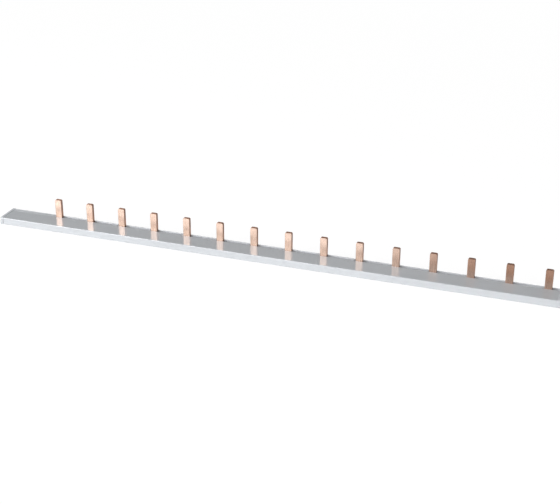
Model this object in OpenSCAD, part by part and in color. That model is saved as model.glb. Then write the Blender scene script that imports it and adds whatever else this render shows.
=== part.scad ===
// Single-phase comb busbar with pins, for a row of modular circuit breakers.
// A stamped copper comb lies flat in an extruded plastic channel. Its teeth are
// bent up through a slot near the rear edge, and a moulded cap closes each end.
// X runs along the bar, the slot lies towards +Y and the pins point to +Z.
// The origin is the middle of the underside. All sizes are in millimetres.

/* [Pins] */
// Number of pins
pin_count = 15; // [2:1:30]
// Distance from one pin to the next
pin_pitch = 17.8; // [12:0.1:27]
// Width of a pin along the bar
pin_w = 3.5; // [2.5:0.1:5]
// Height of a pin above the top of the channel
pin_h = 9.3; // [5:0.1:15]
// Radius of the two corners at a pin's tip
tip_r = 0.7; // [0.3:0.1:1]

/* [Copper comb] */
// Thickness of the copper sheet
stock_t = 1.8; // [1:0.1:3]
// Width of the flat strip, up to the start of the bends
strip_w = 8.9; // [5:0.1:16]
// Inside radius of the bend at a pin's root
bend_r = 0.4; // [0.3:0.05:0.8]
// Radius of the stamped edges of a pin
edge_r = 0.2; // [0.1:0.05:0.4]
// Width of the relief notch on each side of a pin's root
relief_w = 0.8; // [0.4:0.1:1.2]
// Depth of the relief notches
relief_d = 1.2; // [0.8:0.1:2]
// Radius of the corners at the strip's ends
strip_corner_r = 0.8; // [0.2:0.1:2]

/* [Channel] */
// Distance from the left end of the channel to the first pin
left_margin = 26.6; // [10:0.1:60]
// Distance from the last pin to the right end of the channel
right_margin = 5.5; // [5:0.1:60]
// Thickness of the front wall
wall_front = 0.9; // [0.6:0.1:2]
// Thickness of the rear wall
wall_rear = 0.8; // [0.6:0.1:2]
// Thickness of the top wall
wall_top = 0.9; // [0.6:0.1:2]
// Thickness of the bottom wall
wall_bottom = 0.8; // [0.6:0.1:2]
// Radius of the outer long edges
outer_r = 0.4; // [0.1:0.05:0.5]
// Radius of the inner long edges
inner_r = 0.2; // [0.1:0.05:0.3]
// Radius of the top wall's long edges along the slot
mouth_r = 0.15; // [0.05:0.05:0.3]
// Radius of the rear wall's inner top edge, as far as the wall has room for it
rim_r = 0.3; // [0.05:0.05:0.5]

/* [End caps] */
// Thickness of a cap's flange
flange_t = 2; // [1:0.1:4]
// How far a flange stands out past the channel's front, rear and top
flange_lip = 0.2; // [0:0.05:0.5]
// Radius of the outer rim of a flange
flange_r = 0.8; // [0.3:0.1:0.9]
// Length of the left cap's plug
left_plug_len = 4; // [1:0.1:8]
// Length of the right cap's plug
right_plug_len = 1.5; // [0.5:0.1:2]

/* [Clearances] */
// Gap between a pin and each side of the slot
slot_clear = 0.05; // [0.02:0.01:0.2]
// Gap above the strip
strip_clear = 0.2; // [0.05:0.05:0.5]
// Gap between the strip's front edge and the front wall
front_clear = 0.25; // [0.1:0.05:0.5]
// Gap around a plug and beside the tongue
plug_clear = 0.05; // [0.02:0.01:0.2]
// Gap between a plug and the end of the strip
plug_gap = 0.5; // [0.2:0.1:1]
// Gap between the tongue and the first pin
tongue_gap = 0.3; // [0.1:0.1:1]

/* [Hidden] */
$fn = 48;

// How far a cutting or joining shape runs past the face that it meets
overrun = 1;
profile_color = [0.71, 0.73, 0.75];
cap_color = [0.67, 0.69, 0.71];
copper_color = [0.82, 0.56, 0.42];

// Along the bar
profile_len = left_margin + (pin_count - 1) * pin_pitch + right_margin;
profile_left = -profile_len / 2;
profile_right = profile_len / 2;
first_pin_x = profile_left + left_margin;
pin_places = [for (i = [0:pin_count - 1]) first_pin_x + i * pin_pitch];
strip_left = profile_left + left_plug_len + plug_gap;
strip_right = profile_right - right_plug_len - plug_gap;
strip_len = strip_right - strip_left;
tongue_len = left_margin - pin_w / 2 - tongue_gap;

// Across the bar
profile_d = wall_front + front_clear + strip_w + bend_r + stock_t + slot_clear + wall_rear;
rear_y = profile_d / 2;
front_y = -profile_d / 2;
channel_rear_y = rear_y - wall_rear;
channel_front_y = front_y + wall_front;
channel_d = channel_rear_y - channel_front_y;
pin_rear_y = channel_rear_y - slot_clear;
pin_front_y = pin_rear_y - stock_t;
slot_front_y = pin_front_y - slot_clear;
slot_w = channel_rear_y - slot_front_y;
bend_y = pin_front_y - bend_r;

// Upwards
channel_h = stock_t + strip_clear;
profile_h = wall_bottom + channel_h + wall_top;
strip_top_z = wall_bottom + stock_t;
bend_z = strip_top_z + bend_r;
channel_top_z = wall_bottom + channel_h;
// The top wall's lower edge at the slot follows the inside of the bends
lip_r = max(bend_r - strip_clear, mouth_r);
rear_rim_r = min(rim_r, wall_rear - outer_r);
pin_top_z = profile_h + pin_h;

// A rectangle with rounded corners, its lowest corner at the origin
module rounded_rect(w, h, r) {
    translate([r, 0]) square([w - 2 * r, h]);
    translate([0, r]) square([w, h - 2 * r]);
    for (x = [r, w - r], y = [r, h - r]) translate([x, y]) circle(r);
}

// What rounding takes off a corner that lies at the origin, inside +X and +Y
module corner_waste(r) {
    difference() {
        square(r);
        translate([r, r]) circle(r);
    }
}

// Stands a section drawn across and upwards on end, and draws it out along X
module along_x(from, length) {
    translate([from, 0, 0]) rotate([90, 0, 90]) linear_extrude(length) children();
}

// Outline across the channel: closed all round but for the slot in the top
module profile_section() {
    difference() {
        translate([front_y, 0]) rounded_rect(profile_d, profile_h, outer_r);
        translate([channel_front_y, wall_bottom]) rounded_rect(channel_d, channel_h, inner_r);
        translate([slot_front_y, channel_top_z - inner_r]) square([slot_w, wall_top + inner_r + overrun]);
        translate([slot_front_y, profile_h]) rotate(180) corner_waste(mouth_r);
        translate([channel_rear_y, profile_h]) rotate(-90) corner_waste(rear_rim_r);
        translate([slot_front_y, channel_top_z]) rotate(90) corner_waste(lip_r);
    }
}

module insulating_profile() {
    color(profile_color) along_x(profile_left, profile_len) profile_section();
}

// Relief notch beside a pin's root: it runs in from the strip's rear edge to a round bottom
module relief_notch(x) {
    translate([x, bend_y - relief_d + relief_w / 2]) circle(relief_w / 2);
    translate([x - relief_w / 2, bend_y - relief_d + relief_w / 2]) square([relief_w, relief_d + overrun]);
}

// Plan of the flat strip, with its relief notches
module strip_plan() {
    difference() {
        translate([strip_left, bend_y - strip_w]) rounded_rect(strip_len, strip_w, strip_corner_r);
        for (x = pin_places, side = [-1, 1]) relief_notch(x + side * (pin_w + relief_w) / 2);
    }
}

// A pin that stands on the strip's rear edge, with the bend at its root
module pin(x) {
    pin_section_z = pin_top_z - bend_z;
    translate([x, bend_y, bend_z]) rotate([90, 0, 90]) rotate([0, 0, -90])
        rotate_extrude(angle = 90) translate([bend_r, -pin_w / 2]) rounded_rect(stock_t, pin_w, edge_r);
    intersection() {
        translate([x - pin_w / 2, pin_front_y, bend_z])
            linear_extrude(pin_section_z) rounded_rect(pin_w, stock_t, edge_r);
        translate([x - pin_w / 2, pin_rear_y + overrun, bend_z - tip_r]) rotate([90, 0, 0])
            linear_extrude(stock_t + 2 * overrun) rounded_rect(pin_w, pin_section_z + tip_r, tip_r);
    }
}

module copper_comb() {
    color(copper_color) {
        translate([0, 0, wall_bottom]) linear_extrude(stock_t) strip_plan();
        for (x = pin_places) pin(x);
    }
}

// A plate with its outer rim rounded, for the left end: its inner face lies at X = 0
module flange_plate() {
    plate_d = profile_d + 2 * flange_lip;
    plate_h = profile_h + flange_lip;
    intersection() {
        translate([0, -plate_d / 2, 0]) along_x(-flange_t, flange_t) rounded_rect(plate_d, plate_h, flange_r);
        translate([-flange_t, plate_d / 2, 0]) rotate([90, 0, 0])
            linear_extrude(plate_d) rounded_rect(flange_t + flange_r, plate_h, flange_r);
        translate([-flange_t, -plate_d / 2, 0])
            linear_extrude(plate_h) rounded_rect(flange_t + flange_r, plate_d, flange_r);
    }
}

// A plug that fills the channel from X = 0
module plug(length) {
    translate([0, channel_front_y + plug_clear, wall_bottom + plug_clear])
        along_x(0, length) rounded_rect(channel_d - 2 * plug_clear, channel_h - 2 * plug_clear, inner_r);
}

module left_end_cap() {
    tongue_h = profile_h - wall_bottom - plug_clear;
    color(cap_color) translate([profile_left, 0, 0]) {
        flange_plate();
        plug(left_plug_len);
        translate([0, slot_front_y + plug_clear, wall_bottom + plug_clear])
            along_x(0, tongue_len) rounded_rect(slot_w - 2 * plug_clear, tongue_h, inner_r);
    }
}

module right_end_cap() {
    color(cap_color) translate([profile_right, 0, 0]) mirror([1, 0, 0]) {
        flange_plate();
        plug(right_plug_len);
    }
}

insulating_profile();
copper_comb();
left_end_cap();
right_end_cap();
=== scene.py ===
"""Looks of a single-phase comb busbar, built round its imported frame."""
import math

import bpy
from mathutils import Matrix, Vector


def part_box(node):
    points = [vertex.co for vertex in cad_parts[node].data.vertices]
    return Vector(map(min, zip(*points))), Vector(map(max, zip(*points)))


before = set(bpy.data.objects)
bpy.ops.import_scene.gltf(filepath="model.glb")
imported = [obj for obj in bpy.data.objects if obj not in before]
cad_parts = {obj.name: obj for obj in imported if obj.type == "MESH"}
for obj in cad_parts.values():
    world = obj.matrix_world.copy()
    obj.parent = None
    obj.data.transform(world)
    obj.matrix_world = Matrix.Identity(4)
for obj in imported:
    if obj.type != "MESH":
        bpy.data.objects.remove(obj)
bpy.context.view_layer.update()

# The frame: metres, X along the bar, pins up +Z, slot towards +Y, underside on Z = 0
COMB_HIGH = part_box("copper_comb")[1]
COMB_END_X = COMB_HIGH[0]
PIN_TIP_Z = COMB_HIGH[2]

# Camera: in front of the bar, above it and to its right
SENSOR_MM = 36.0
LENS_MM = 78.76
VIEW_AZIMUTH = math.radians(19.367)
VIEW_ELEVATION = math.radians(24.542)
VIEW_ROLL = math.radians(0.1)
EYE = Vector((0.18563, -0.50604, 0.24924))
CLIP_NEAR = 0.01
CLIP_FAR = 50.0

# Studio: places on a ramp that runs up the sky with their levels, and the floor
SKY_STOPS = ((0.17, 1.0), (0.28, 0.20), (0.60, 0.16), (0.80, 0.20))
FLOOR_SIZE = 40.0
FLOOR_COLOR = (0.8, 0.8, 0.8)
FLOOR_GLOW = 1.09
FLOOR_GLOW_SHARE = 0.85

# Noise patterns: units per metre along X, Y and Z, and the detail
DRAW_LINES = ((6.0, 2600.0, 2600.0), 3.0)
DRAWN_CLOUDS = ((28.0, 90.0, 90.0), 4.0)
SPECKS = ((2600.0, 2600.0, 2600.0), 2.0)
MOULD_GRAIN = ((3200.0, 3200.0, 3200.0), 3.0)
MOULD_CLOUDS = ((160.0, 160.0, 160.0), 3.0)
ROLLED_STREAKS = ((2400.0, 2400.0, 60.0), 3.0)
BLOTCHES = ((420.0, 420.0, 300.0), 4.0)

# Spans of noise values, each drawn out to a whole range of tone or gloss
NARROW = (0.35, 0.65)
WIDE = (0.3, 0.7)
UPPER = (0.42, 0.72)

# Plastics: colours, gains of their dark and light parts, gloss, and relief in metres
PROFILE_GREY = (0.63, 0.655, 0.685)
PROFILE_GAINS = (0.96, 1.04)
PROFILE_ROUGHNESS = (0.09, 0.16)
PROFILE_IOR = 1.6
PROFILE_COAT = 1.0
PROFILE_COAT_ROUGHNESS = 0.04
PROFILE_RELIEF = 0.000004
SPECK_RELIEF_SHARE = 0.3
CAP_GREY = (0.60, 0.62, 0.65)
CAP_GAINS = (0.95, 1.04)
CAP_ROUGHNESS = (0.18, 0.30)
CAP_IOR = 1.52
CAP_RELIEF = 0.000008

# Copper: colours, gloss, and relief in metres
COPPER_FACE = (0.92, 0.69, 0.57)
# Dull copper for random spots and streaks, and for painted shade at the pin roots
COPPER_DULL_AND_PAINTED_ROOT_SHADE = (0.52, 0.36, 0.28)
# Painted shade: a darker, browner copper for the right-hand end, standing in for dimmer reflections
# there
COPPER_PAINTED_END_SHADE = (0.42, 0.235, 0.16)
# Sheared copper, darker partly as duller sheared metal and partly as painted shade standing in for
# dark reflections
COPPER_SHEARED_AND_PAINTED_SHADE = (0.36, 0.20, 0.14)
COPPER_ROUGHNESS = (0.25, 0.32)
SHEARED_ROUGHNESS = 0.55
COPPER_ANISOTROPY = 0.9
COPPER_RELIEF = 0.000006

# Copper: how dull its random spots and streaks are, how dark the painted shade at its pin roots is,
# and how strongly painted shade browns its right-hand end
SPOT_DULLNESS = 0.22
STREAK_DULLNESS = 0.14
PAINTED_ROOT_SHADE = 0.62
PAINTED_END_SHADE = 0.92
ROOT_SHARE_OF_PAINTED_END_SHADE = 0.45

# Copper: where its painted shade at the right-hand end and at the pin roots, and its tips, change
# along X and Z, and how far a sheared face turns to X or Z
PAINTED_END_SHADE_X = (COMB_END_X - 0.105, COMB_END_X - 0.022)
PAINTED_ROOT_SHADE_Z = (PIN_TIP_Z - 0.0062, PIN_TIP_Z - 0.0022)
PAINTED_END_SHADE_Z = (PIN_TIP_Z - 0.0085, PIN_TIP_Z - 0.0035)
TIP_Z = (PIN_TIP_Z - 0.003, PIN_TIP_Z - 0.002)
SHEARED_SIDE_TURN = (0.55, 0.85)
SHEARED_TIP_TURN = (0.45, 0.75)


def add_camera():
    out = Vector((
        math.sin(VIEW_AZIMUTH) * math.cos(VIEW_ELEVATION),
        -math.cos(VIEW_AZIMUTH) * math.cos(VIEW_ELEVATION),
        math.sin(VIEW_ELEVATION),
    ))
    data = bpy.data.cameras.new("camera")
    data.sensor_width = SENSOR_MM
    data.lens = LENS_MM
    data.clip_start = CLIP_NEAR
    data.clip_end = CLIP_FAR
    camera = bpy.data.objects.new("camera", data)
    turn = (-out).to_track_quat("-Z", "Y").to_matrix() @ Matrix.Rotation(VIEW_ROLL, 3, "Z")
    camera.location = EYE
    camera.rotation_euler = turn.to_euler()
    bpy.context.scene.collection.objects.link(camera)
    bpy.context.scene.camera = camera


def add_softbox(name, place, target, width, height, radiance):
    """A rectangular area lamp of a given surface radiance, so that its size can change alone."""
    data = bpy.data.lights.new(name, "AREA")
    data.shape = "RECTANGLE"
    data.size = width
    data.size_y = height
    data.energy = radiance * width * height * math.pi
    lamp = bpy.data.objects.new(name, data)
    lamp.location = place
    lamp.rotation_euler = (Vector(target) - Vector(place)).to_track_quat("-Z", "Y").to_euler()
    lamp.visible_camera = False
    bpy.context.scene.collection.objects.link(lamp)


def add_world():
    """A soft studio: a pale horizon behind the floor's far end, and dimmer walls above it."""
    world = bpy.data.worlds.new("studio")
    bpy.context.scene.world = world
    world.use_nodes = True
    tree = world.node_tree
    tree.nodes.clear()
    coords = tree.nodes.new("ShaderNodeTexCoord")
    split = tree.nodes.new("ShaderNodeSeparateXYZ")
    ramp = tree.nodes.new("ShaderNodeValToRGB")
    background = tree.nodes.new("ShaderNodeBackground")
    output = tree.nodes.new("ShaderNodeOutputWorld")
    tree.links.new(coords.outputs["Generated"], split.inputs[0])
    tree.links.new(split.outputs["Z"], ramp.inputs["Fac"])
    tree.links.new(ramp.outputs["Color"], background.inputs["Color"])
    tree.links.new(background.outputs[0], output.inputs["Surface"])
    elements = ramp.color_ramp.elements
    while len(elements) < len(SKY_STOPS):
        elements.new(1.0)
    for element, (place, level) in zip(elements, SKY_STOPS):
        element.position = place
        element.color = (level, level, level, 1.0)


class Graph:
    """A material's nodes, with short calls for the ones that repeat."""

    # The Mix node's sockets for colours, which share their names with its other sockets
    MIX_A = 6
    MIX_B = 7
    MIX_RESULT = 2

    def __init__(self, name):
        self.material = bpy.data.materials.new(name)
        self.material.use_nodes = True
        self.tree = self.material.node_tree
        self.tree.nodes.clear()
        self.output = self.add("ShaderNodeOutputMaterial")
        self.place = self.add("ShaderNodeTexCoord").outputs["Object"]

    def add(self, kind, **settings):
        node = self.tree.nodes.new(kind)
        for key, value in settings.items():
            setattr(node, key, value)
        return node

    def feed(self, socket, value):
        """Links a socket, or sets its plain value."""
        if isinstance(value, bpy.types.NodeSocket):
            self.tree.links.new(value, socket)
        else:
            socket.default_value = value

    def split(self, vector):
        node = self.add("ShaderNodeSeparateXYZ")
        self.feed(node.inputs[0], vector)
        return node.outputs

    def noise(self, scale, detail):
        """Noise in object coordinates, stretched so that one unit is 1 / scale metres."""
        mapping = self.add("ShaderNodeMapping")
        self.feed(mapping.inputs["Vector"], self.place)
        self.feed(mapping.inputs["Scale"], scale)
        node = self.add("ShaderNodeTexNoise")
        self.feed(node.inputs["Vector"], mapping.outputs[0])
        self.feed(node.inputs["Scale"], 1.0)
        self.feed(node.inputs["Detail"], detail)
        return node.outputs["Fac"]

    def math(self, operation, a, b=0.0):
        node = self.add("ShaderNodeMath", operation=operation)
        self.feed(node.inputs[0], a)
        self.feed(node.inputs[1], b)
        return node.outputs[0]

    def spread(self, value, span, result=(0.0, 1.0), kind="LINEAR"):
        """Maps the ends of a span to the ends of a result, and holds them beyond."""
        node = self.add("ShaderNodeMapRange", interpolation_type=kind)
        sockets = ("Value", "From Min", "From Max", "To Min", "To Max")
        for socket, number in zip(sockets, (value, *span, *result)):
            self.feed(node.inputs[socket], number)
        return node.outputs[0]

    def blend(self, share, a, b):
        node = self.add("ShaderNodeMix", data_type="RGBA")
        self.feed(node.inputs["Factor"], share)
        self.feed(node.inputs[self.MIX_A], a)
        self.feed(node.inputs[self.MIX_B], b)
        return node.outputs[self.MIX_RESULT]

    def bump(self, height, depth):
        node = self.add("ShaderNodeBump")
        self.feed(node.inputs["Height"], height)
        self.feed(node.inputs["Distance"], depth)
        return node.outputs[0]

    def principled(self, **inputs):
        """A Principled shader on the material's output. An input's words are joined by _ here."""
        shader = self.add("ShaderNodeBsdfPrincipled")
        for name, value in inputs.items():
            self.feed(shader.inputs[name.replace("_", " ")], value)
        return self.finish(shader)

    def finish(self, shader):
        self.tree.links.new(shader.outputs[0], self.output.inputs["Surface"])
        return self.material


def rgba(color, gain=1.0):
    return (*(channel * gain for channel in color), 1.0)


def add_floor():
    """A pale floor, white to the eye and in reflections, that keeps the bar's soft shadow."""
    bpy.ops.mesh.primitive_plane_add(size=FLOOR_SIZE)
    floor = bpy.context.object
    floor.name = "floor"
    graph = Graph("floor_white")
    diffuse = graph.add("ShaderNodeBsdfDiffuse")
    graph.feed(diffuse.inputs["Color"], rgba(FLOOR_COLOR))
    glow = graph.add("ShaderNodeEmission")
    graph.feed(glow.inputs["Strength"], FLOOR_GLOW)
    path = graph.add("ShaderNodeLightPath").outputs
    seen = graph.math("MAXIMUM", path["Is Camera Ray"], path["Is Glossy Ray"])
    seen = graph.math("MAXIMUM", seen, path["Is Transmission Ray"])
    mix = graph.add("ShaderNodeMixShader")
    graph.feed(mix.inputs["Fac"], graph.math("MULTIPLY", seen, FLOOR_GLOW_SHARE))
    graph.tree.links.new(diffuse.outputs[0], mix.inputs[1])
    graph.tree.links.new(glow.outputs[0], mix.inputs[2])
    floor.data.materials.append(graph.finish(mix))


def extruded_plastic():
    """Glossy extruded PVC: faint draw lines along X, and slightly uneven tone and gloss."""
    graph = Graph("profile_plastic")
    lines = graph.noise(*DRAW_LINES)
    clouds = graph.noise(*DRAWN_CLOUDS)
    specks = graph.noise(*SPECKS)
    half = (0.0, 0.5)
    lightness = graph.math("ADD", graph.spread(clouds, NARROW, half), graph.spread(lines, WIDE, half))
    dark, light = (rgba(PROFILE_GREY, gain) for gain in PROFILE_GAINS)
    relief = graph.math("ADD", lines, graph.math("MULTIPLY", specks, SPECK_RELIEF_SHARE))
    return graph.principled(
        Base_Color=graph.blend(lightness, dark, light),
        Roughness=graph.spread(clouds, NARROW, PROFILE_ROUGHNESS),
        IOR=PROFILE_IOR,
        Coat_Weight=PROFILE_COAT,
        Coat_Roughness=PROFILE_COAT_ROUGHNESS,
        Normal=graph.bump(relief, PROFILE_RELIEF),
    )


def moulded_plastic():
    """Moulded cap plastic: a fine even grain, duller than the channel."""
    graph = Graph("cap_plastic")
    grain = graph.noise(*MOULD_GRAIN)
    clouds = graph.noise(*MOULD_CLOUDS)
    dark, light = (rgba(CAP_GREY, gain) for gain in CAP_GAINS)
    return graph.principled(
        Base_Color=graph.blend(graph.spread(clouds, WIDE), dark, light),
        Roughness=graph.spread(grain, WIDE, CAP_ROUGHNESS),
        IOR=CAP_IOR,
        Normal=graph.bump(grain, CAP_RELIEF),
    )


def rolled_copper():
    """Bright rolled copper with fine streaks and dark sheared edges, partly duller sheared metal and
    partly painted shade; painted shade also darkens the pin roots and browns the right-hand end.
    """
    graph = Graph("copper")
    place = graph.split(graph.place)
    facing = graph.split(graph.add("ShaderNodeNewGeometry").outputs["Normal"])
    streaks = graph.noise(*ROLLED_STREAKS)
    blotches = graph.noise(*BLOTCHES)

    # The broad faces
    # Painted shade: the broad faces darken and brown towards the right-hand end, standing in for
    # dimmer reflections there, and less so towards the pin roots
    painted_end_shade = graph.spread(place["X"], PAINTED_END_SHADE_X, (0.0, PAINTED_END_SHADE), "SMOOTHSTEP")
    # Painted shade darkening the pins towards their roots, where they rise out of the bar; it gives
    # way where the right-hand end's painted shade sets in
    painted_root_shade = graph.spread(place["Z"], PAINTED_ROOT_SHADE_Z, (PAINTED_ROOT_SHADE, 0.0), "SMOOTHSTEP")
    painted_root_shade = graph.math("MULTIPLY", painted_root_shade, graph.math("SUBTRACT", 1.0, painted_end_shade))
    height_share = graph.spread(place["Z"], PAINTED_END_SHADE_Z, (ROOT_SHARE_OF_PAINTED_END_SHADE, 1.0), "SMOOTHSTEP")
    painted_end_shade = graph.math("MULTIPLY", painted_end_shade, height_share)
    spots = graph.spread(blotches, UPPER, (0.0, SPOT_DULLNESS))
    lines = graph.spread(streaks, NARROW, (0.0, STREAK_DULLNESS))
    # Dull spots and streaks at random, and the painted shade at the pin roots
    dullness_and_painted_root_shade = graph.math("ADD", graph.math("ADD", spots, painted_root_shade), lines)
    face = graph.blend(dullness_and_painted_root_shade, rgba(COPPER_FACE), rgba(COPPER_DULL_AND_PAINTED_ROOT_SHADE))
    face = graph.blend(painted_end_shade, face, rgba(COPPER_PAINTED_END_SHADE))

    # The sheared faces: the pins' sides and tips, darker partly as duller sheared copper and partly as
    # painted shade
    side = graph.spread(graph.math("ABSOLUTE", facing["X"]), SHEARED_SIDE_TURN)
    upward = graph.spread(facing["Z"], SHEARED_TIP_TURN)
    tip = graph.math("MULTIPLY", upward, graph.spread(place["Z"], TIP_Z))
    sheared_and_painted_shade = graph.math("MAXIMUM", side, tip)

    face_roughness = graph.spread(streaks, WIDE, COPPER_ROUGHNESS)
    sheared_roughness = graph.math("MULTIPLY", sheared_and_painted_shade, SHEARED_ROUGHNESS)
    tangent = graph.add("ShaderNodeTangent", direction_type="RADIAL", axis="X")
    return graph.principled(
        Base_Color=graph.blend(sheared_and_painted_shade, face, rgba(COPPER_SHEARED_AND_PAINTED_SHADE)),
        Metallic=1.0,
        Roughness=graph.math("MAXIMUM", face_roughness, sheared_roughness),
        Anisotropic=COPPER_ANISOTROPY,
        Tangent=tangent.outputs[0],
        Normal=graph.bump(graph.math("ADD", streaks, blotches), COPPER_RELIEF),
    )


def dress(node, material):
    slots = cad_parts[node].data.materials
    slots.clear()
    slots.append(material)


add_camera()
add_world()
add_floor()
cap_plastic = moulded_plastic()
dress("insulating_profile", extruded_plastic())
dress("left_end_cap", cap_plastic)
dress("right_end_cap", cap_plastic)
dress("copper_comb", rolled_copper())
add_softbox("left_softbox", place=(-0.62, -0.9, 0.53), target=(-0.62, 0.0, 0.16),
            width=0.9, height=0.84, radiance=3.1)
add_softbox("right_softbox", place=(0.62, -1.1, 0.75), target=(0.0, 0.0, 0.0),
            width=0.7, height=0.5, radiance=4.8)
add_softbox("high_left_softbox", place=(-0.95, -0.85, 0.95), target=(0.0, 0.0, 0.0),
            width=0.7, height=0.7, radiance=4.2)
add_softbox("rear_softbox", place=(0.3, 1.2, 0.22), target=(0.0, 0.0, 0.0),
            width=1.2, height=0.25, radiance=4.0)

scene = bpy.context.scene
scene.view_settings.view_transform = "Standard"
